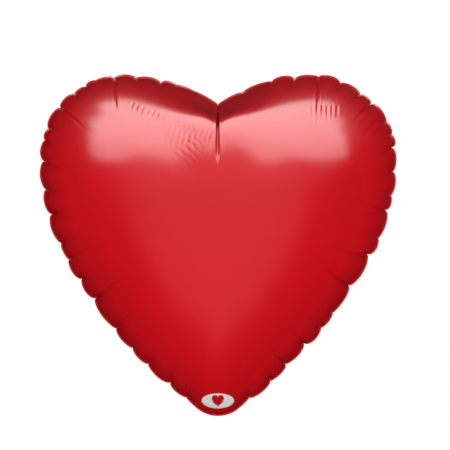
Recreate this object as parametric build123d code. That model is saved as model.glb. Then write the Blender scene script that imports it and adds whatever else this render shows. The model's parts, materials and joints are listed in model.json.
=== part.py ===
from build123d import *
from math import asin, cos, degrees, radians, sin
import os

# A heart-shaped foil balloon, filled, standing upright in the XZ plane and facing -Y.
# The origin is on the crease where the filling tail joins the point of the heart, on the
# seam plane: the place where a ribbon is tied. Lengths are in millimetres.

# --- The filled heart ---
HEART_WIDTH = 375.0
HEART_HEIGHT = 359.0
HEART_DEPTH = 180.0
FILM = 0.6                  # wall of each foil panel
SEAM_WIDTH = 4.0            # flat welded rim outside the filled part
CREASE_GAP = 2.0            # from the crease to the point of the heart
POINT_LIFT = 4.0            # extra flat land between the crease and the filled part
CENTRE_HEIGHT = 205.0       # the height that the pillow's contours shrink towards

# The right half of the rim is a chain of arcs that starts at the point, square to the middle line.
# Each has a radius, how far it turns in degrees, and how many steps it is drawn in.
POINT_ARC = (34.0, 37.0, 1)
LOWER_SIDE_ARC = (480.0, 26.0, 2)
UPPER_SIDE_ARC = (225.0, 27.0, 2)
LOBE_ARC = (88.0, 90.0, 2)
TO_MIDDLE_LINE = None
SHOULDER_ARC = (160.0, TO_MIDDLE_LINE, 2)   # from the top of the lobe down to the notch
POINT_DIRECTION = (1, 0, 0.12)

# Contours of the pillow: each is the rim shrunk to this share, and its depth follows
CONTOURS = [1.0, 0.965, 0.9, 0.79, 0.63, 0.42, 0.16]
PILLOW_ROUNDNESS = 2.6
PILLOW_STEEPNESS = 0.7

# --- The valve: two thin films, from inside the heart to near the mouth of the tail ---
VALVE_FILM = 0.25
VALVE_WIDTH = 18.0
VALVE_REACH = 78.0          # how far the valve stands up inside the heart
VALVE_INLET = 58.0          # how far it runs down the tail
VALVE_CORNER = 5.0

# --- The filling tail, cut in one with the panels and folded up behind the heart ---
TAIL_LENGTH = 72.0
TAIL_PLY = 0.7
NECK_WIDTH = 22.0
MOUTH_WIDTH = 34.0
NECK_LENGTH = 20.0          # the tail widens from the neck over this length
MOUTH_CORNER = 3.0
TAIL_FOLD = 118.0           # degrees between hanging straight down and lying behind


def arc_chain():
    """The chain's points as shares of the half width and the height, and its last direction."""
    x, z, heading = 0.0, 0.0, 0.0
    points = [(x, z)]
    for radius, turn, steps in (POINT_ARC, LOWER_SIDE_ARC, UPPER_SIDE_ARC, LOBE_ARC, SHOULDER_ARC):
        if turn == TO_MIDDLE_LINE:
            turn = degrees(asin(x / radius))
        for _ in range(steps):
            following = heading + radians(turn / steps)
            x += radius * (sin(following) - sin(heading))
            z += radius * (cos(heading) - cos(following))
            heading = following
            points.append((x, z))
    half_width = max(across for across, up in points)
    height = max(up for across, up in points)
    shares = [(across / half_width, up / height) for across, up in points]
    return shares, (cos(heading), 0, sin(heading))


RIM, NOTCH_DIRECTION = arc_chain()


def rim_points(share, depth, lift=0.0):
    """The rim's points on the right side, shrunk towards the centre of the heart."""
    points = []
    for across, up in RIM:
        height = CREASE_GAP + up * HEART_HEIGHT
        height = CENTRE_HEIGHT + share * (height - CENTRE_HEIGHT)
        points.append(Vector(share * across * HEART_WIDTH / 2, depth, height))
    points[0] += Vector(0, 0, lift * share)
    return points


def heart_face(share, depth, lift=0.0):
    """A flat heart, square to Y, at one depth."""
    right = Spline(*rim_points(share, depth, lift), tangents=[POINT_DIRECTION, NOTCH_DIRECTION])
    return make_face([right, mirror(right, about=Plane.YZ)])


def pillow(base_share, half_depth):
    """One filled half of the heart, from the seam plane towards +Y."""
    faces = []
    for share in CONTOURS:
        depth = half_depth * (1 - share ** PILLOW_ROUNDNESS) ** PILLOW_STEEPNESS
        faces.append(heart_face(base_share * share, depth, POINT_LIFT))
    return loft(faces)


def strip(width, bottom, top, thickness, corner=0.0, round_top=True):
    """A flat strip upright in the seam plane, from y = 0 to y = thickness."""
    body = Pos(0, thickness / 2, (bottom + top) / 2) * Box(width, thickness, top - bottom)
    if corner:
        ends = body.edges().filter_by(Axis.Y).sort_by(Axis.Z)
        body = fillet(ends[-2:] if round_top else ends[:2], corner)
    return body


def heart_panel():
    """The rear foil panel: a filled shell, its flat seam, and the land down to the crease."""
    base_share = 1 - 2 * SEAM_WIDTH / HEART_WIDTH
    inner_share = base_share - 2 * FILM / HEART_WIDTH
    hollow = pillow(inner_share, HEART_DEPTH / 2 - FILM)
    seam = extrude(heart_face(1.0, 0.0), amount=FILM, dir=(0, 1, 0))
    land = strip(NECK_WIDTH, CREASE_GAP, CREASE_GAP + 2 * SEAM_WIDTH, FILM)
    valve_way = strip(VALVE_WIDTH, 0, CREASE_GAP + 6 * SEAM_WIDTH, VALVE_FILM)
    return pillow(base_share, HEART_DEPTH / 2) + seam + land - hollow - valve_way


def tail_outline():
    """The tail hanging straight down from the crease, seen from the front."""
    half_neck, half_mouth = NECK_WIDTH / 2, MOUTH_WIDTH / 2
    corners = [(-half_neck, 0), (half_neck, 0), (half_mouth, -NECK_LENGTH), (half_mouth, -TAIL_LENGTH),
               (-half_mouth, -TAIL_LENGTH), (-half_mouth, -NECK_LENGTH)]
    return make_face(Polyline(*[(x, 0, z) for x, z in corners], close=True))


def tail_ply():
    """The rear ply of the tail, with a shallow bed for the valve that runs out at the mouth."""
    ply = extrude(tail_outline(), amount=TAIL_PLY, dir=(0, 1, 0))
    mouth_edges = ply.edges().filter_by(Axis.Y).sort_by(Axis.Z)[:2]
    ply = fillet(mouth_edges, MOUTH_CORNER)
    return ply - strip(VALVE_WIDTH, -TAIL_LENGTH, 0, VALVE_FILM)


def folded(shape):
    """Turn a piece of the tail about the crease, from hanging down to lying behind."""
    return shape.rotate(Axis.X, TAIL_FOLD)


def front(shape):
    """The front twin of a rear piece."""
    return mirror(shape, about=Plane.XZ)


rear_panel = heart_panel()
rear_valve = strip(VALVE_WIDTH, CREASE_GAP, VALVE_REACH, VALVE_FILM, VALVE_CORNER)
rear_ply = tail_ply()
rear_inlet = strip(VALVE_WIDTH, -VALVE_INLET, 0, VALVE_FILM, VALVE_CORNER, round_top=False)

pieces = {
    "front_panel": front(rear_panel),
    "rear_panel": rear_panel,
    "valve_front_film": front(rear_valve),
    "valve_rear_film": rear_valve,
    "tail_front_ply": folded(front(rear_ply)),
    "tail_rear_ply": folded(rear_ply),
    "tail_valve_front_film": folded(front(rear_inlet)),
    "tail_valve_rear_film": folded(rear_inlet),
}

os.makedirs("parts", exist_ok=True)
for node, piece in pieces.items():
    piece.label = node
    export_step(piece, f"parts/{node}.step")
    size = piece.bounding_box().size
    print(f"{node}: {len(piece.solids())} solid, {size.X:.1f} x {size.Y:.1f} x {size.Z:.1f} mm")
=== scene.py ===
# %% [markdown]
# # A filled heart-shaped foil balloon
# Two heart-shaped sheets of metallised film are welded together round the rim, and gas pushes
# them apart. Film doesn't stretch, so when the flat heart fills, its rim has too much length and
# gathers into puckers. That is what gives a foil balloon its scalloped outline. Everything here is
# in metres, in the frame of the CAD model: Z is up, and the front of the heart faces -Y.

# %% Load the CAD frame
import json
import math
import bpy
import numpy as np
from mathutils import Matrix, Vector


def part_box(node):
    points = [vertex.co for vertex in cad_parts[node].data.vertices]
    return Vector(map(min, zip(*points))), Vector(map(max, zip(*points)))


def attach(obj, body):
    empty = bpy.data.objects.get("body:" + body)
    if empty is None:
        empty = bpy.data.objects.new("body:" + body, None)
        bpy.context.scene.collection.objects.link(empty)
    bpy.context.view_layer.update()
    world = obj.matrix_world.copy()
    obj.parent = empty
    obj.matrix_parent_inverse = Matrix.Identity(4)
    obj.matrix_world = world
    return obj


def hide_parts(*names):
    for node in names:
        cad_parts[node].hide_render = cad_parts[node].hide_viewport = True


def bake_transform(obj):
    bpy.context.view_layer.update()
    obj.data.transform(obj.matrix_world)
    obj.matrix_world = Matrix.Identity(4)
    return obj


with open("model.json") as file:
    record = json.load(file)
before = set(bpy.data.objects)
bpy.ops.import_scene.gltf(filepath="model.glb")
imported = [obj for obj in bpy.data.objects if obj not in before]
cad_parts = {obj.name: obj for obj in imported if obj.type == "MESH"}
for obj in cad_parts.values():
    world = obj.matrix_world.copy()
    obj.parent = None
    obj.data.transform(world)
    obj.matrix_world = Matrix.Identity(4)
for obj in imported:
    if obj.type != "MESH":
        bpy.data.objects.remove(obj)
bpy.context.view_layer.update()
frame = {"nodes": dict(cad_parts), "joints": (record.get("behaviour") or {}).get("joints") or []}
MM = 0.001

# %% [markdown]
# ## Sizes taken from the frame
# The front panel's CAD box gives the width, the height and the depth of the filled heart. The
# tail's hinge is at the origin, and its fold is half of the joint's range.

# %% Read the heart's size
heart_low, heart_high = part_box("front_panel")
HALF_WIDTH = heart_high[0]
HEART_BOTTOM = heart_low[2]
HEART_HEIGHT = heart_high[2] - heart_low[2]
HALF_DEPTH = -heart_low[1]
TAIL_FOLD = math.radians(frame["joints"][0]["range_deg"][1] / 2)
MIDDLE = Vector((0, 0, HEART_BOTTOM + HEART_HEIGHT / 2))
print(f"heart {2 * HALF_WIDTH:.3f} wide, {HEART_HEIGHT:.3f} high, {2 * HALF_DEPTH:.3f} deep")

# %% [markdown]
# ## The camera
# The balloon is seen square on, from far enough away that its sides hardly converge. A long lens
# does that. The camera stands a little to the right of the heart's middle line, so that the heart
# sits where it should in the picture.

# %% Make the camera
CAMERA_DISTANCE = 2.6
VIEW_WIDTH = 0.477          # how much the picture takes in at the heart's own distance
VIEW_CENTRE = Vector((0.0075, 0, 0.203))

camera_data = bpy.data.cameras.new("camera")
camera_data.sensor_width = 36.0
camera_data.lens = 36.0 * CAMERA_DISTANCE / VIEW_WIDTH
camera = bpy.data.objects.new("camera", camera_data)
camera.location = VIEW_CENTRE + Vector((0, -CAMERA_DISTANCE, 0))
camera.rotation_euler = (math.radians(90), 0, 0)
bpy.context.scene.collection.objects.link(camera)
bpy.context.scene.camera = camera
print(f"lens {camera_data.lens:.0f} mm")

# %% [markdown]
# ## The rim as a chain of arcs
# Half of the heart's outline is five arcs that run smoothly into each other: the point, the lower
# side, the upper side, the lobe, and the shoulder that falls to the notch. They could be a Blender
# curve object, but the puckers need to know the curve's length and its outward direction at every
# place, so it is worked out here with numpy.

# %% Draw the right half of the rim
# Each arc's radius in millimetres and how far it turns in degrees, from the point to the lobe's top
RIM_ARCS = [(34, 37), (480, 26), (225, 27), (88, 90)]
SHOULDER_RADIUS = 160
ARC_STEPS = 90


def rim_chain():
    """The arcs as a line of points. The last one turns until it meets the middle line."""
    x, z, heading = 0.0, 0.0, 0.0
    points = [(x, z)]
    for radius, turn in RIM_ARCS + [(SHOULDER_RADIUS, None)]:
        if turn is None:
            turn = math.degrees(math.asin(x / radius))
        for _ in range(ARC_STEPS):
            following = heading + math.radians(turn / ARC_STEPS)
            x += radius * (math.sin(following) - math.sin(heading))
            z += radius * (math.cos(heading) - math.cos(following))
            heading = following
            points.append((x, z))
    return np.array(points)


def along(line):
    """The distance along a line of points, from its start."""
    return np.concatenate([[0], np.cumsum(np.linalg.norm(np.diff(line, axis=0), axis=1))])


half_rim = rim_chain()
half_rim *= np.array((HALF_WIDTH, HEART_HEIGHT)) / half_rim.max(axis=0)
half_rim += (0, HEART_BOTTOM)
half_length = along(half_rim)[-1]
print(f"the rim is {2 * half_length:.3f} round")

# %% [markdown]
# ## Where the rim puckers
# Each scallop is the film between two pinches. They are small and round on the lobes, where the
# rim curves most and has most to gather, and longer down the sides. The point is held smooth by
# the tail's neck, and the stretch beside the notch is pulled tight. No two scallops are alike, so
# a rule gives the usual scallop for each place, and random numbers from a fixed seed vary it.

# %% Work out the scallops from the point of the heart up to the notch
POINT_SCALLOP = 40 * MM
SIDE_SCALLOP = 29 * MM
LOBE_SCALLOP = 20 * MM
NOTCH_SCALLOP = 31 * MM
PINCH_DEPTH = 0.15          # of the scallop's length
TOP_STANDS_OUT = 1.5 * MM
TUCK_REACH = (10 * MM, 17 * MM)


def ease(value, start, end):
    """0 before start, 1 after end, and a smooth step between them."""
    t = np.clip((value - start) / (end - start), 0, 1)
    return t * t * (3 - 2 * t)


def scallops_up_a_side(seed):
    """Each scallop's length, how far its top stands out, how far out the pinch after it is, and
    how far a tuck runs into the film from that pinch."""
    random = np.random.default_rng(seed)
    scallops = [(POINT_SCALLOP, TOP_STANDS_OUT, -1.5 * MM, TUCK_REACH[0])]
    start = POINT_SCALLOP
    while start < half_length - NOTCH_SCALLOP:
        share = start / half_length
        usual = SIDE_SCALLOP + (LOBE_SCALLOP - SIDE_SCALLOP) * ease(share, 0.45, 0.6)
        usual += (NOTCH_SCALLOP - usual) * ease(share, 0.85, 0.93)
        length = usual * random.uniform(0.6, 1.4)
        tight = ease(share, 0.84, 0.94)
        top = TOP_STANDS_OUT * random.uniform(0.2, 1.8)
        pinch = top - PINCH_DEPTH * length * random.uniform(0.75, 1.25) * (1 - 0.8 * tight)
        scallops.append((length, top, pinch, random.uniform(*TUCK_REACH) * (1 - tight)))
        start += length
    scallops.append((NOTCH_SCALLOP, TOP_STANDS_OUT, 0.0, 0.0))
    return scallops


right_scallops = scallops_up_a_side(1)
left_scallops = scallops_up_a_side(2)
print(len(left_scallops), "scallops up the left side,", len(right_scallops), "up the right")

# %% Set columns of points round the rim
COLUMN_STEP = 1.05 * MM
TIGHTER_AT_PINCH = 0.45     # how far the columns crowd towards the pinches, from 0 to 1
TIGHTER_AT_NOTCH = 1.6


def columns_of(scallops):
    """Each column's distance along half of the rim, the scallop's length, how far out the rim is
    pushed there, and how much of that is the pinch, from 0 at a scallop's top to 1."""
    lengths = np.array([row[0] for row in scallops], float)
    lengths *= half_length / lengths.sum()
    starts = np.concatenate([[0], np.cumsum(lengths)])
    rows = []
    pinch_before = scallops[0][1]
    for number, (start, length, row) in enumerate(zip(starts, lengths, scallops)):
        top, pinch_after = row[1:3]
        count = max(8, 8 * round(length / COLUMN_STEP / 8))
        even = np.arange(count) / count
        spaced = even + TIGHTER_AT_PINCH * (0.5 - 0.5 * np.cos(math.pi * even) - even)
        place = spaced
        if number == 0:                         # the point of the heart is the top of a scallop
            place = 0.5 + 0.5 * spaced
        elif number == len(scallops) - 1:       # and the notch isn't a pinch either
            spaced = 1 - (1 - even) ** TIGHTER_AT_NOTCH
            place = 0.5 * spaced
            pinch_after = top
        pinched = 1 - np.sin(math.pi * place) ** 0.5
        pinch = pinch_before + (pinch_after - pinch_before) * place
        rows += [(start + p * length, length, top, q - top, part)
                 for p, q, part in zip(spaced, pinch, pinched)]
        pinch_before = pinch_after
    rows.append((half_length, lengths[-1], top, 0.0, 0.0))
    tucks = [row[3] for row in scallops[:-1]]
    return np.array(rows), starts[1:-1], tucks


right_columns, right_pinches, right_tucks = columns_of(right_scallops)
left_columns, left_pinches, left_tucks = columns_of(left_scallops)
# Once round: up the right side from the point, and down the left side from the notch
columns = np.vstack([right_columns, left_columns[-2:0:-1]])
on_left = np.arange(len(columns)) >= len(right_columns)
round_rim = np.where(on_left, 2 * half_length - columns[:, 0], columns[:, 0])
pinches = np.concatenate([right_pinches, 2 * half_length - left_pinches])
print(f"{len(columns)} columns, {len(pinches)} pinches")

# %% [markdown]
# ## The outline that the columns stand on
# The outward direction is smoothed a little, so that at the notch, where the two sides meet in a
# corner, it swings evenly from one side to the other.

# %% Place the rim's points and their outward directions
SMOOTH_TURN = 5 * MM


def blurred(values, positions, total, reach):
    """The values averaged with their neighbours on a closed line, weighted by distance."""
    gap = (positions[:, None] - positions[None, :] + total / 2) % total - total / 2
    spacing = (np.roll(positions, -1) - np.roll(positions, 1)) % total
    weight = np.exp(-((gap / reach) ** 2)) * spacing
    return weight @ values / weight.sum(1, keepdims=True)


rim = np.stack([np.interp(columns[:, 0], along(half_rim), half_rim[:, k]) for k in (0, 1)], axis=1)
rim[on_left, 0] *= -1
step = np.roll(rim, -1, axis=0) - np.roll(rim, 1, axis=0)
outward = np.stack([step[:, 1], -step[:, 0]], axis=1)
outward /= np.linalg.norm(outward, axis=1, keepdims=True)
outward = blurred(outward, round_rim, 2 * half_length, SMOOTH_TURN)
outward /= np.linalg.norm(outward, axis=1, keepdims=True)
FLAT_OUTWARD = np.stack([outward[:, 0], np.zeros(len(columns)), outward[:, 1]], axis=1)
print("outward at the notch:", outward[len(right_columns) - 1].round(2))

# %% [markdown]
# ## The section of the filled heart
# A balloon made from two flat discs of film that can't stretch has a known section: it leaves the
# rim square to the seam, and flattens towards the middle. The same section is used here on every
# line from the rim to the heart's middle. Rings of points run round the heart, close together
# near the rim, where the puckers are, and further apart towards the middle.

# %% Work out the rings
CENTRE = np.array([0.0, HEART_BOTTOM + 0.565 * HEART_HEIGHT])
SECTION_POWERS = (2.6, 0.7)
RING_STEPS = [(64, 1.4 * MM), (12, 2.8 * MM), (60, 4.5 * MM)]
MEAN_REACH = 0.165          # the usual distance from the rim to the middle


def section(share):
    """The depth, from 0 to 1, at a share of the way from the middle to the rim."""
    return (1 - np.clip(share, 0, 1) ** SECTION_POWERS[0]) ** SECTION_POWERS[1]


fine_share = 1 - np.linspace(0, 1, 4000) ** 2.0
fine_arc = along(np.stack([MEAN_REACH * (1 - fine_share), HALF_DEPTH * section(fine_share)], axis=1))
ring_arcs = [0.0, 0.4 * MM]
for count, gap in RING_STEPS:
    for _ in range(count):
        if ring_arcs[-1] + gap < fine_arc[-1] - 1.5 * gap:
            ring_arcs.append(ring_arcs[-1] + gap)
ring_share = np.interp(ring_arcs, fine_arc, fine_share)
print(f"{len(ring_share)} rings, {fine_arc[-1]:.3f} from rim to middle over the film")

# %% [markdown]
# ## The film of one panel
# The rings shrink from the rim towards the middle, and the notch fades out as they do, because
# the film pulls straight across between the lobes. Then three kinds of detail move the points:
# the puffed scallops, which are cut back at each pinch; the tucks, which are sharp creases that
# run in from the pinches; and finer wrinkles. A cloth simulation under pressure could make all of
# these, but it puts the folds where it likes. Moving the points by rule keeps each
# pinch and crease in its place and the rest of the film as smooth as a tight foil is.

# %% Shape helpers
WELD_WIDTH = 1.5 * MM
WELD_THICKNESS = 0.12 * MM
NOTCH_FILL = 58 * MM
NOTCH_SPREAD = 64 * MM
PUFF_REACH = 0.8            # scallops die out over this many scallop lengths
TOP_FADE = 110 * MM         # the unevenness of the scallops' tops reaches further in,
TOP_BLUR = 22 * MM          # smoothed over this much of the rim


def crease_section(across):
    """A sharp valley with a low ridge on each side, as a tuck in tight film has."""
    across = np.abs(across)
    return np.exp(-across) - 0.34 * np.exp(-((across - 2.6) / 1.2) ** 2)


def stroke(x, z, start, end, depth, width):
    """A crease drawn between two places on the film, in metres."""
    start, end = np.array(start), np.array(end)
    run = end - start
    length = np.linalg.norm(run)
    t = ((x - start[0]) * run[0] + (z - start[1]) * run[1]) / length ** 2
    across = ((x - start[0]) * run[1] - (z - start[1]) * run[0]) / length
    taper = ease(t, 0, 0.15) * np.clip(1 - t, 0, 1) ** 0.8
    return -depth * taper * crease_section(across / width)


def base_film(side):
    """The smooth filled film: an array of rings by columns of points, and the rings' distances in."""
    weld = rim - outward * WELD_WIDTH
    filled = weld.copy()
    upper = ease(weld[:, 1], CENTRE[1], CENTRE[1] + 0.05)
    filled[:, 1] += NOTCH_FILL * upper * np.exp(-((weld[:, 0] / NOTCH_SPREAD) ** 2))
    share = ring_share[:, None]
    fade = ease(-share, -0.95, -0.45)[..., None]
    outline = weld * (1 - fade) + filled * fade
    flat = CENTRE + share[..., None] * (outline - CENTRE)
    depth = WELD_THICKNESS / 2 + (HALF_DEPTH - WELD_THICKNESS) * section(share)
    depth = np.broadcast_to(depth, flat.shape[:2])
    points = np.stack([flat[..., 0], side * depth, flat[..., 1]], axis=-1)
    steps = np.linalg.norm(np.diff(points, axis=0), axis=-1)
    inward = np.vstack([np.zeros(len(columns)), np.cumsum(steps, axis=0)])
    return points, inward


def normals_of(points, side):
    """The outward direction at each point of a ring-and-column grid."""
    around = np.roll(points, -1, axis=1) - np.roll(points, 1, axis=1)
    down = np.gradient(points, axis=0)
    normal = np.cross(around, down)
    normal /= np.maximum(np.linalg.norm(normal, axis=-1, keepdims=True), 1e-12)
    facing = np.sign((normal[..., 1] * side).sum())
    return normal * facing


# %% [markdown]
# ## The creases
# Every pinch starts a tuck, and a few of those run far into the film. The wrinkles that start at
# no pinch are drawn as strokes, each from one place on the film to another.

# %% List the loose wrinkles
TUCK_DEPTH = 1.4 * MM
TUCK_WIDTH = 1.2 * MM
CREASE_BELOW_NOTCH = 57 * MM
CREASE_DEPTH = 6 * MM
CREASE_WIDTHS = (0.9 * MM, 1.25 * MM)   # by the notch, and at its open lower end
# The long creases: the side of the heart, how far up its rim, and the length and depth in millimetres
LONG_CREASES = [("left", 0.3, 42, 2.2), ("left", 0.4, 34, 1.7), ("left", 0.5, 36, 2.0),
                ("left", 0.7, 36, 2.4), ("left", 0.8, 40, 3.0), ("right", 0.15, 42, 2.2),
                ("right", 0.35, 46, 2.2), ("right", 0.5, 36, 2.4), ("right", 0.6, 22, 1.8),
                ("right", 0.7, 24, 2.0), ("right", 0.8, 40, 3.0)]


def long_strokes(shorter):
    """The long creases as strokes: each runs straight in from the pinch nearest to its place."""
    strokes = []
    for side, share, length, depth in LONG_CREASES:
        place = share * half_length if side == "right" else (2 - share) * half_length
        pinch = pinches[np.argmin(np.abs(pinches - place))]
        column = np.argmin(np.abs(round_rim - pinch))
        end = rim[column] - outward[column] * length * shorter * MM
        strokes.append((rim[column], end, depth * MM, 1.05 * MM))
    return strokes


def fine_strokes(random):
    """The fine parallel wrinkles on the shoulders of the lobes, as strokes for the front film."""
    strokes = []
    for i in range(17):
        share = i / 16
        x = -0.090 + 0.083 * share
        z = 0.331 - 0.033 * share + random.uniform(-1, 1) * MM
        length = (19 + 20 * math.sin(math.pi * share ** 1.6) + random.uniform(-3, 3)) * MM
        depth = (0.9 + 0.7 * ease(share, 0.35, 0.7) + random.uniform(-0.15, 0.15)) * MM
        strokes.append(((x + 0.1 * length, z), (x - 0.17 * length, z - length), depth, 1.1 * MM))
    for i in range(6):
        x = 0.0985 + 0.0052 * i
        length = (24 - 2 * i + random.uniform(-3, 3)) * MM
        strokes.append(((x, 0.328), (x - 0.001, 0.328 - length), (0.6 - 0.05 * i) * MM, 1.0 * MM))
    for i in range(4):
        x, z = 0.150 + 0.0052 * i, 0.324 - 0.007 * i
        strokes.append(((x + 0.008, z + 0.006), (x - 0.010, z - 0.016), 0.5 * MM, 1.1 * MM))
    for i in range(2):
        z = 0.293 - 0.006 * i
        strokes.append(((0.178, z), (0.160, z - 0.007), 0.36 * MM, 1.2 * MM))
    return strokes + long_strokes(1.0)


def rear_strokes(random):
    """The same kind of wrinkles for the rear film, in places of its own."""
    strokes = []
    for i in range(12):
        x = 0.016 + 0.0068 * i
        z = 0.290 + 0.0028 * i + random.uniform(-1, 1) * MM
        length = (16 + random.uniform(-3, 5)) * MM
        strokes.append(((x, z), (x + 0.15 * length, z - length), random.uniform(0.18, 0.36) * MM, 1.2 * MM))
    for i in range(5):
        x = -0.118 + 0.0064 * i
        strokes.append(((x, 0.326), (x + 0.002, 0.304), random.uniform(0.25, 0.4) * MM, 1.2 * MM))
    return strokes + long_strokes(0.8)


# %% [markdown]
# ## Build a panel's mesh
# The grid starts with two rings on the flat weld, outside the film. Towards the middle the
# columns would crowd together, so at a few rings every second column is dropped, with three
# triangles in place of each pair of faces.

# %% Panel builder
HALVE_COLUMNS_AT = (0.45, 0.24, 0.12)
ripple = np.random.default_rng(11)
RIPPLE_WAVES = [(ripple.uniform(25, 60), ripple.uniform(0, 2 * math.pi), ripple.uniform(0, math.pi),
                 ripple.uniform(0.02, 0.06)) for _ in range(9)]


def smooth_ripple(x, z, shift):
    """The slight unevenness of tight film, as a sum of a few long waves."""
    height = 0
    for wave, phase, heading, size in RIPPLE_WAVES:
        distance = x * math.cos(heading) + z * math.sin(heading)
        height = height + size * MM * np.sin(distance * 2 * math.pi / (wave * MM) + phase + shift)
    return height


def ruffle():
    """How far the flat weld stands off the seam plane, round the rim."""
    random = np.random.default_rng(23)
    lift = np.zeros(len(columns))
    for pinch in pinches:
        gap = (round_rim - pinch + half_length) % (2 * half_length) - half_length
        lift += random.uniform(-0.9, 0.9) * MM * np.exp(-((gap / (4 * MM)) ** 2))
        lift += random.uniform(-0.8, 0.8) * MM * np.exp(-((gap / (9 * MM)) ** 2))
    calm = ease(np.abs(rim[:, 0]), 12 * MM, 30 * MM)
    return lift * calm


def join_grid(counts):
    """The faces between rings, where each ring has the number of points that counts gives."""
    starts = np.concatenate([[0], np.cumsum(counts)])
    faces = []
    for k in range(len(counts) - 1):
        n, a, b = counts[k], starts[k], starts[k + 1]
        if counts[k + 1] == n:
            i = np.arange(n)
            j = (i + 1) % n
            faces += np.stack([a + i, a + j, b + j, b + i], axis=1).tolist()
        else:
            for i in range(0, n, 2):
                left, middle, right = a + i, a + i + 1, a + (i + 2) % n
                inner, following = b + i // 2, b + (i // 2 + 1) % (n // 2)
                faces += [[left, middle, inner], [middle, following, inner], [middle, right, following]]
    n, a, pole = counts[-1], starts[-2], starts[-1]
    faces += [[a + i, a + (i + 1) % n, pole] for i in range(n)]
    return faces


def mesh_piece(name, points, faces):
    """A new smooth-shaded object from points and faces."""
    mesh = bpy.data.meshes.new(name)
    mesh.from_pydata(np.asarray(points).tolist(), [], faces)
    mesh.validate()
    mesh.polygons.foreach_set("use_smooth", [True] * len(mesh.polygons))
    piece = bpy.data.objects.new(name, mesh)
    bpy.context.scene.collection.objects.link(piece)
    return piece


def scallop_moves(normal, inward):
    """How the film is drawn in at the pinches, sharply by the weld and softly further in."""
    length, top, pinch, pinched = columns[:, 1], columns[:, 2], columns[:, 3], columns[:, 4]
    far = inward / length
    softer = 1 + 2.2 * np.clip(far, 0, 1)
    arch = (1 - pinched) ** softer
    near_rim = np.exp(-((far / PUFF_REACH) ** 1.6))
    even_top = blurred(top[:, None], round_rim, 2 * half_length, TOP_BLUR)[:, 0]
    push = even_top * ease(-inward, -TOP_FADE, 0) + (top - even_top + pinch * (1 - arch)) * near_rim
    turn = ease(inward, 0, 9 * MM)[..., None]
    heading = FLAT_OUTWARD * (1 - turn) + normal * turn
    heading /= np.linalg.norm(heading, axis=-1, keepdims=True)
    return heading * push[..., None]


def tuck_heights(inward, tucks):
    """The sharp creases that run in from the pinches."""
    height = np.zeros_like(inward)
    for place, reach in zip(pinches, tucks):
        if reach > 0:
            gap = (round_rim - place + half_length) % (2 * half_length) - half_length
            across = gap * ring_share[:, None] / (TUCK_WIDTH * (1 + 0.8 * inward / reach))
            fade = np.clip(1 - inward / reach, 0, 1) ** 0.9 * ease(inward, 0, 5 * MM)
            height -= TUCK_DEPTH * fade * crease_section(across)
    return height


def notch_crease(x, z):
    """The depth of the crease that runs down from the notch."""
    down = (half_rim[-1, 1] - WELD_WIDTH - z) / CREASE_BELOW_NOTCH
    fade = np.clip(1 - down, 0, 1) ** 0.6 * ease(down, -0.02, 0.1) * (np.abs(x) < 0.03)
    wide = CREASE_WIDTHS[0] + (CREASE_WIDTHS[1] - CREASE_WIDTHS[0]) * ease(down, 0.7, 0.9)
    return CREASE_DEPTH * fade * crease_section(x / wide)


def weld_rings(weld_edge, lift, side):
    """The flat weld, whose outer edge closes on the other panel's."""
    rings = []
    for share_out in (1.0, 0.5):
        ring = weld_edge + FLAT_OUTWARD * WELD_WIDTH * share_out
        ring[:, 1] = lift * (1 + 0.6 * share_out) + side * WELD_THICKNESS / 2
        rings.append(ring)
    return rings


def drop_columns(grid, shares):
    """The rings with every second column dropped at each limit, and how many points each keeps."""
    kept, counts, every = [], [], 1
    limits = list(HALVE_COLUMNS_AT)
    for ring, share in zip(grid, shares):
        if limits and share < limits[0]:
            every *= 2
            limits.pop(0)
        kept.append(ring[::every])
        counts.append(len(ring[::every]))
    return kept, counts


def sharpen_fold(piece, weld_start):
    """Mark the line where the film turns sharply away from the weld."""
    ends = np.empty(2 * len(piece.data.edges), int)
    piece.data.edges.foreach_get("vertices", ends)
    on_fold = ((ends >= weld_start) & (ends < weld_start + len(columns))).reshape(-1, 2).all(axis=1)
    piece.data.edges.foreach_set("use_edge_sharp", on_fold)


def foil_panel(name, side, tucks, strokes, shift):
    """One panel of the heart: side is -1 for the front and 1 for the rear."""
    points, inward = base_film(side)
    normal = normals_of(points, side)
    x, z = points[..., 0], points[..., 2]
    height = tuck_heights(inward, tucks)
    height -= notch_crease(x, z)
    for start, end, depth, width in strokes:
        height += stroke(x, z, start, end, depth, width)
    height += smooth_ripple(x, z, shift) * ease(inward, 15 * MM, 60 * MM)
    move = scallop_moves(normal, inward) + normal * height[..., None]
    lift = ruffle()
    move[..., 1] += lift * np.exp(-inward / (7 * MM))
    points = points + move

    rings = weld_rings(points[0], lift, side)
    shares = np.concatenate([[1] * len(rings), ring_share])
    kept, counts = drop_columns(rings + list(points), shares)
    pole = points[-1].mean(axis=0)
    pole[1] = side * HALF_DEPTH
    kept.append(pole[None])
    faces = join_grid(counts)
    if side < 0:
        faces = [face[::-1] for face in faces]
    piece = mesh_piece(name, np.vstack(kept), faces)
    sharpen_fold(piece, sum(counts[:len(rings)]))
    print(f"{name}: {len(piece.data.vertices)} points, {len(piece.data.polygons)} faces")
    return piece


# %% Make the two panels
front_tucks = right_tucks + left_tucks
rear_tucks = front_tucks[-3:] + front_tucks[:-3]
front_panel = foil_panel("front_foil", -1, front_tucks, fine_strokes(np.random.default_rng(3)), 0.0)
rear_panel = foil_panel("rear_foil", 1, rear_tucks, rear_strokes(np.random.default_rng(7)), 2.0)

# %% [markdown]
# ## The filling tail
# The tail is the same two sheets running on below the point of the heart, with the valve between
# them. It is folded up behind the heart on a sharp crease. Each ply is drawn as it would hang,
# straight down, and then bent round the crease, so that one drawing serves for the flat part
# above the crease, the crease itself and the tail behind it.

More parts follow.
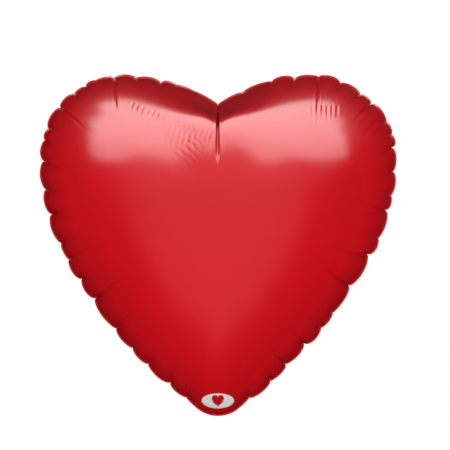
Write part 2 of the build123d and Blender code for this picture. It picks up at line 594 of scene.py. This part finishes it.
# %% Bend a hanging strip round the crease
CREASE_RADIUS = 1.0 * MM
CREASE_REACH = CREASE_RADIUS * math.tan(TAIL_FOLD / 2)
FOLDED_DOWN = Vector((0, math.sin(TAIL_FOLD), -math.cos(TAIL_FOLD)))
CREASE_CURVE = 2.2 * MM
NECK_HALF = 9.5 * MM
TAIL_LENGTH = 72 * MM
NECK_ABOVE = 6 * MM


def bend_round_crease(across, hang, off):
    """Move a point of the hanging strip to where it lies at rest.

    across is its x, hang its distance below the crease, and off its distance behind the middle
    of the strip, towards the rear ply. The crease curves up a little at both ends.
    """
    lift = CREASE_CURVE * (across / NECK_HALF) ** 2 * float(1 - ease(abs(hang), 3 * MM, 12 * MM))
    x, y, z = bend_straight(across, hang, off)
    return (x, y, z + lift)


def bend_straight(across, hang, off):
    """The same for a straight crease."""
    arc = CREASE_RADIUS * TAIL_FOLD
    if hang <= -CREASE_REACH:
        return (across, off, -hang)
    turned = hang + CREASE_REACH
    if turned < arc:
        angle = turned / CREASE_RADIUS
        radius = CREASE_RADIUS - off
        return (across, CREASE_RADIUS - radius * math.cos(angle), CREASE_REACH - radius * math.sin(angle))
    run = CREASE_REACH + turned - arc
    behind = Vector((0, math.cos(TAIL_FOLD), math.sin(TAIL_FOLD)))
    return tuple(Vector((across, 0, 0)) + FOLDED_DOWN * run + behind * off)


def strip_grid(hangs, half_width, off):
    """A strip as a grid of points: half_width and off give its edge and its bulge at each place."""
    points = []
    for hang in hangs:
        for place in ACROSS:
            edge = half_width(hang)
            points.append(bend_round_crease(place * edge, hang, off(place * edge, hang)))
    wide = len(ACROSS)
    faces = []
    for row in range(len(hangs) - 1):
        for column in range(wide - 1):
            a = row * wide + column
            faces.append([a, a + 1, a + wide + 1, a + wide])
    return points, faces


ACROSS = np.linspace(-1, 1, 45)

# %% [markdown]
# The tail is narrow at the neck and widens to its mouth. Each ply bulges a little over the valve
# between its two welded margins, and its end stands open by a hair, as it does after a nozzle
# has been in it.

# %% Make the two plies of the tail
MOUTH_HALF = 17 * MM
CHANNEL_HALF = 9.6 * MM
MOUTH_CORNER = 3 * MM


def tail_half_width(hang):
    width = NECK_HALF + (MOUTH_HALF - NECK_HALF) * float(ease(hang, 0, 22 * MM))
    to_end = TAIL_LENGTH - hang
    if to_end < MOUTH_CORNER:
        width -= MOUTH_CORNER - math.sqrt(max(0, MOUTH_CORNER ** 2 - (MOUTH_CORNER - to_end) ** 2))
    return width


def tail_ply(name, side):
    """One ply of the tail: side is -1 for the front ply and 1 for the rear one."""
    def off(x, hang):
        channel = float(ease(-abs(x), -CHANNEL_HALF, -CHANNEL_HALF + 2.5 * MM))
        opened = float(ease(hang, TAIL_LENGTH - 16 * MM, TAIL_LENGTH))
        settled = float(ease(hang, 0, 14 * MM))
        gathers = 0.10 * MM * math.sin(x / MM * 2.1 + side) * math.exp(-abs(hang) / (12 * MM))
        wave = 0.12 * MM * math.sin(hang / MM * 0.45 + side * 1.3) * (1 - abs(x) / MOUTH_HALF)
        puff = channel * (0.30 * MM * settled + 0.9 * MM * opened + wave * settled)
        return side * (0.12 * MM + 0.16 * MM * channel + puff) + settled * gathers

    hangs = np.concatenate([np.linspace(-NECK_ABOVE, -CREASE_REACH, 6),
                            np.linspace(-CREASE_REACH, CREASE_REACH, 15)[1:],
                            np.linspace(CREASE_REACH, TAIL_LENGTH - MOUTH_CORNER, 64)[1:],
                            TAIL_LENGTH - MOUTH_CORNER * (1 - np.sin(np.linspace(0, math.pi / 2, 9)))[1:]])
    points, faces = strip_grid(hangs, tail_half_width, off)
    if side > 0:
        faces = [face[::-1] for face in faces]
    return mesh_piece(name, points, faces)


tail_front = tail_ply("tail_front_foil", -1)
tail_rear = tail_ply("tail_rear_foil", 1)
print("tail plies:", len(tail_front.data.polygons), "faces each")

# %% [markdown]
# ## The valve
# The valve is nothing but two narrow films, face to face. They stand up inside the heart and run
# down through the neck to near the mouth of the tail. The gas presses them together, so they seal
# themselves. They are nearly hidden, but they are pieces of the balloon, so they are made too:
# the stretch inside the heart, and the stretch in the tail.

# %% Make the valve films
VALVE_HALF = 9 * MM
VALVE_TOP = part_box("valve_rear_film")[1][2]
VALVE_INLET = 58 * MM
VALVE_CORNER = 5 * MM


def valve_film(name, start, end, side):
    """A valve film from one distance below the crease to another, with rounded corners at its far end."""
    far_end = start if abs(start) > abs(end) else end

    def half_width(hang):
        to_end = abs(hang - far_end)
        if to_end >= VALVE_CORNER:
            return VALVE_HALF
        return VALVE_HALF - VALVE_CORNER + math.sqrt(VALVE_CORNER ** 2 - (VALVE_CORNER - to_end) ** 2)

    def off(x, hang):
        welded = float(ease(abs(x), VALVE_HALF - 2 * MM, VALVE_HALF - 1 * MM))
        buckle = 0.025 * MM * math.sin(hang / MM * 0.6 + side) * math.cos(x / MM * 0.4)
        return side * (0.07 * MM * (1 - 0.6 * welded) + buckle * (1 - welded))

    rounded = far_end + math.copysign(VALVE_CORNER, start + end - 2 * far_end) * (
        1 - np.sin(np.linspace(0, math.pi / 2, 9)))
    straight = np.linspace(rounded[0], end if far_end == start else start, 50)
    hangs = np.sort(np.concatenate([rounded, straight[1:]]))
    points, faces = strip_grid(hangs, half_width, off)
    return mesh_piece(name, points, faces)


valve_front = valve_film("valve_front", -VALVE_TOP, -CREASE_REACH, -1)
valve_rear = valve_film("valve_rear", -VALVE_TOP, -CREASE_REACH, 1)
inlet_front = valve_film("valve_inlet_front", CREASE_REACH, VALVE_INLET, -1)
inlet_rear = valve_film("valve_inlet_rear", CREASE_REACH, VALVE_INLET, 1)
print("valve stands", round(VALVE_TOP, 3), "inside the heart")

# %% [markdown]
# ## What each piece rides on
# The heart and the valve inside it belong to the envelope. The tail's plies cross the crease; they
# are drawn bent round it and ride on neither body. The valve's inlet moves with the tail.

for piece, node in ((front_panel, "front_panel"), (rear_panel, "rear_panel")):
    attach(piece, "envelope")
    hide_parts(node)

for piece, node in ((tail_front, "tail_front_ply"), (tail_rear, "tail_rear_ply")):
    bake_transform(piece)
    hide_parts(node)

for piece, node, body in ((valve_front, "valve_front_film", "envelope"),
                          (valve_rear, "valve_rear_film", "envelope"),
                          (inlet_front, "tail_valve_front_film", "tail"),
                          (inlet_rear, "tail_valve_rear_film", "tail")):
    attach(piece, body)
    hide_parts(node)
    length = VALVE_TOP - CREASE_REACH if body == "envelope" else VALVE_INLET - CREASE_REACH

# %% [markdown]
# ## Shader maths in Python
# A finish is a tree of nodes. Wiring them by hand hides the sums, so a small class stands for one
# output of a node, and adds a Math node for each operator. A second class holds the tree and makes
# any other node.

# %% Classes for finishes
class Value:
    """One output of a node in a finish."""

    def __init__(self, finish, socket):
        self.finish = finish
        self.socket = socket

    def maths(self, operation, *others):
        return self.finish.node("ShaderNodeMath", {"operation": operation}, *others)

    def __add__(self, other):
        return self.maths("ADD", self, other)

    def __sub__(self, other):
        return self.maths("SUBTRACT", self, other)

    def __rsub__(self, other):
        return self.maths("SUBTRACT", other, self)

    def __mul__(self, other):
        return self.maths("MULTIPLY", self, other)

    def __truediv__(self, other):
        return self.maths("DIVIDE", self, other)

    def __pow__(self, other):
        return self.maths("POWER", self, other)

    __radd__ = __add__
    __rmul__ = __mul__

    def limited(self):
        """The value kept between 0 and 1."""
        return self.finish.node("ShaderNodeClamp", {}, self)

    def below(self, limit, softness):
        """1 where the value is below the limit, 0 above it, with a soft edge."""
        return ((limit - self) / softness + 0.5).limited()


class Finish:
    """A material and its nodes."""

    def __init__(self, name):
        self.material = bpy.data.materials.new(name)
        self.material.use_nodes = True
        self.tree = self.material.node_tree
        self.tree.nodes.clear()

    def node(self, kind, settings, *values, output=0, **named):
        """Add a node: its settings first, then the values or links of its sockets."""
        node = self.tree.nodes.new(kind)
        for key, value in settings.items():
            if key == "stops":
                ramp = node.color_ramp
                for element, (position, colour) in zip(ramp.elements, value):
                    element.position = position
                    element.color = colour
            else:
                setattr(node, key, value)
        sockets = dict(enumerate(values))
        sockets.update({name.replace("_", " "): value for name, value in named.items()})
        for key, value in sockets.items():
            if isinstance(value, Value):
                self.tree.links.new(value.socket, node.inputs[key])
            else:
                node.inputs[key].default_value = value
        return Value(self, node.outputs[output])

    def mix(self, factor, first, second):
        """A colour between two others."""
        settings = {"data_type": "RGBA"}
        return self.node("ShaderNodeMix", settings, output="Result", Factor=factor, A=first, B=second)

    def done(self, shader):
        output = self.tree.nodes.new("ShaderNodeOutputMaterial")
        self.tree.links.new(shader.socket, output.inputs["Surface"])
        return self.material


print("classes for finishes are ready")

# %% [markdown]
# ## The red foil
# The film is nylon with a bright metal layer, printed with a clear red ink. It could be drawn as a
# red metal, but a metal tints its own sheen red, and this film's sheen is pale. So it is a red
# with hardly any metal in it, under a rough clear coat that carries the sheen. Near the point of
# the heart the front has a small printed mark: here a plain pale oval with a little heart in it.

# %% Make the red foil
MARK_CENTRE = (0.0, HEART_BOTTOM + 16.5 * MM)
MARK_HALF = (17 * MM, 8.5 * MM)
MARK_COLOUR = (0.72, 0.74, 0.70, 1)
LIGHTER_RED = (0.60, 0.0006, 0.006, 1)
DEEPER_RED = (0.52, 0.0004, 0.005, 1)


def foil_finish(name, with_mark):
    f = Finish(name)
    place = f.node("ShaderNodeTexCoord", {}, output="Object")
    cloud = f.node("ShaderNodeTexNoise", {}, place, Scale=9.0, Detail=3.0, Roughness=0.5)
    grain = f.node("ShaderNodeTexNoise", {}, place, Scale=650.0, Detail=2.0, Roughness=0.6)
    crinkle = f.node("ShaderNodeTexNoise", {}, place, Scale=70.0, Detail=3.0, Roughness=0.55)
    colour = f.mix(cloud, LIGHTER_RED, DEEPER_RED)
    roughness = 0.44 + 0.05 * cloud + 0.03 * grain
    metal = 0.02 * cloud
    if with_mark:
        x = f.node("ShaderNodeSeparateXYZ", {}, place, output="X")
        z = f.node("ShaderNodeSeparateXYZ", {}, place, output="Z")
        across = (x - MARK_CENTRE[0]) / MARK_HALF[0]
        up = (z - MARK_CENTRE[1]) / MARK_HALF[1]
        reach = across * across + up * up
        oval = reach.below(1.0, 0.10)
        # A heart is where (x^2 + y^2 - 1)^3 is less than x^2 y^3
        hx, hz = across * 3.0, up * 1.5 + 0.05
        round_part = hx * hx + hz * hz - 1.0
        heart = round_part * round_part * round_part - hx * hx * hz * hz * hz
        heart = heart.below(0.0, 0.06)
        pale = oval * (1.0 - heart)
        colour = f.mix(pale, colour, MARK_COLOUR)
    bump = f.node("ShaderNodeBump", {}, Strength=0.05, Distance=0.0004, Height=grain)
    bump = f.node("ShaderNodeBump", {}, Strength=0.10, Distance=0.0008, Height=crinkle, Normal=bump)
    shader = f.node("ShaderNodeBsdfPrincipled", {}, Base_Color=colour, Roughness=roughness,
                    Metallic=metal, Normal=bump, Specular_IOR_Level=0.05, Coat_Weight=1.0,
                    Coat_Roughness=0.22, Coat_IOR=1.6)
    return f.done(shader)


red_foil = foil_finish("red_foil", False)
red_foil_marked = foil_finish("red_foil_marked", True)
for piece in (rear_panel, tail_front, tail_rear):
    piece.data.materials.append(red_foil)
front_panel.data.materials.append(red_foil_marked)
print("red foil made")

# %% [markdown]
# ## The valve film
# Thin polyethylene is milky and lets light through.

# %% Make the valve film's finish
def film_finish():
    f = Finish("valve_film")
    place = f.node("ShaderNodeTexCoord", {}, output="Object")
    haze = f.node("ShaderNodeTexNoise", {}, place, Scale=120.0, Detail=3.0, Roughness=0.5)
    colour = f.mix(haze, (0.80, 0.82, 0.84, 1), (0.90, 0.91, 0.92, 1))
    bump = f.node("ShaderNodeBump", {}, Strength=0.1, Distance=0.0002, Height=haze)
    shader = f.node("ShaderNodeBsdfPrincipled", {}, Base_Color=colour, Roughness=0.30 + 0.15 * haze,
                    Alpha=0.45 + 0.2 * haze, Normal=bump)
    return f.done(shader)


valve_finish = film_finish()
for piece in (valve_front, valve_rear, inlet_front, inlet_rear):
    piece.data.materials.append(valve_finish)
for node in frame["nodes"].values():
    finish = valve_finish if "valve" in node.name else red_foil
    for slot in node.material_slots:
        slot.material = finish

# %% [markdown]
# ## The floor and the light
# The balloon hangs in a plain white studio, over a pale paper floor that lies well below it. The
# floor glows a little, so that it looks white from above, and it sends no light to the foil.

# %% Make the floor
FLOOR_DROP = 0.9
FLOOR_HALF = 4.0


def floor_finish():
    f = Finish("floor_paper")
    place = f.node("ShaderNodeTexCoord", {}, output="Object")
    speckle = f.node("ShaderNodeTexNoise", {}, place, Scale=40.0, Detail=4.0, Roughness=0.6)
    colour = f.mix(speckle, (0.90, 0.90, 0.90, 1), (0.94, 0.94, 0.94, 1))
    return f.done(f.node("ShaderNodeBsdfPrincipled", {}, Base_Color=colour, Roughness=0.8,
                         Emission_Color=colour, Emission_Strength=0.45))


corners = [(x, y, -FLOOR_DROP) for x, y in ((-1, -1), (1, -1), (1, 1), (-1, 1))]
floor = mesh_piece("floor", [(x * FLOOR_HALF, y * FLOOR_HALF, z) for x, y, z in corners], [[0, 1, 2, 3]])
floor.data.materials.append(floor_finish())

# %% [markdown]
# ## The lamps
# Rows of lamps in an arc above and in front of the heart make the broad pale sheen across the
# tops of the lobes. One curved lamp would do the same, but Blender's area lamps are flat. Only
# glossy rays see these rows. A large soft lamp in front and one behind light the red itself, and
# are set to be seen by diffuse rays only, so that the sheen and the red can be balanced apart.

# %% Make the lamps
SHEEN_STRIP = 0.25
SHEEN_RADIANCE = 6.4
SHEEN_ROWS = 4
SHEEN_TOP = 78              # the top row's height over the heart, in degrees


def soft_lamp(name, heading, distance, size, power, seen_in_gloss):
    """A rectangular lamp turned towards the heart, for its sheen or for its even light only."""
    lamp = bpy.data.lights.new(name, "AREA")
    lamp.shape = "RECTANGLE"
    lamp.size, lamp.size_y = size
    lamp.energy = power
    holder = bpy.data.objects.new(name, lamp)
    heading = Vector(heading).normalized()
    holder.location = MIDDLE + heading * distance
    holder.rotation_euler = heading.to_track_quat("Z", "Y").to_euler()
    holder.visible_camera = False
    holder.visible_glossy = seen_in_gloss
    holder.visible_diffuse = not seen_in_gloss
    bpy.context.scene.collection.objects.link(holder)
    return holder


for row in range(SHEEN_ROWS):
    tilt = SHEEN_TOP - 14 * row
    turn = math.radians(tilt)
    width = 1.36 + 0.48 * row
    brightness = 1 - 0.35 * (row / (SHEEN_ROWS - 1)) ** 2
    soft_lamp(f"sheen_lamp_{tilt}", (0.0, -math.cos(turn), math.sin(turn)), 1.0, (width, SHEEN_STRIP),
              math.pi * width * SHEEN_STRIP * brightness * SHEEN_RADIANCE, True)
soft_lamp("front_fill", (0.0, -1.0, -0.2), 2.4, (3.4, 3.4), 104, False)
soft_lamp("rear_fill", (0.2, 1.0, 0.25), 2.4, (3.4, 3.4), 104, False)
floor.visible_glossy = False
floor.visible_diffuse = False

# %% [markdown]
# ## The studio's walls
# The world is the white wall behind the balloon. The camera sees it at full brightness, the red
# gets a share of its light, and the gloss none, or the whole foil would look milky.

# %% Make the world
RED_GETS = 0.3
world = bpy.data.worlds.new("studio")
world.use_nodes = True
bpy.context.scene.world = world
nodes, links = world.node_tree.nodes, world.node_tree.links
background = nodes["Background"]
seen = nodes.new("ShaderNodeLightPath")
brightness = nodes.new("ShaderNodeMapRange")
brightness.inputs["To Min"].default_value = 0.0
brightness.inputs["To Max"].default_value = RED_GETS
links.new(seen.outputs["Is Diffuse Ray"], brightness.inputs["Value"])
whole = nodes.new("ShaderNodeMath")
links.new(brightness.outputs["Result"], whole.inputs[0])
links.new(seen.outputs["Is Camera Ray"], whole.inputs[1])
links.new(whole.outputs["Value"], background.inputs["Strength"])
background.inputs["Color"].default_value = (1, 1, 1, 1)
bpy.context.scene.view_settings.view_transform = "Standard"
print("studio ready")
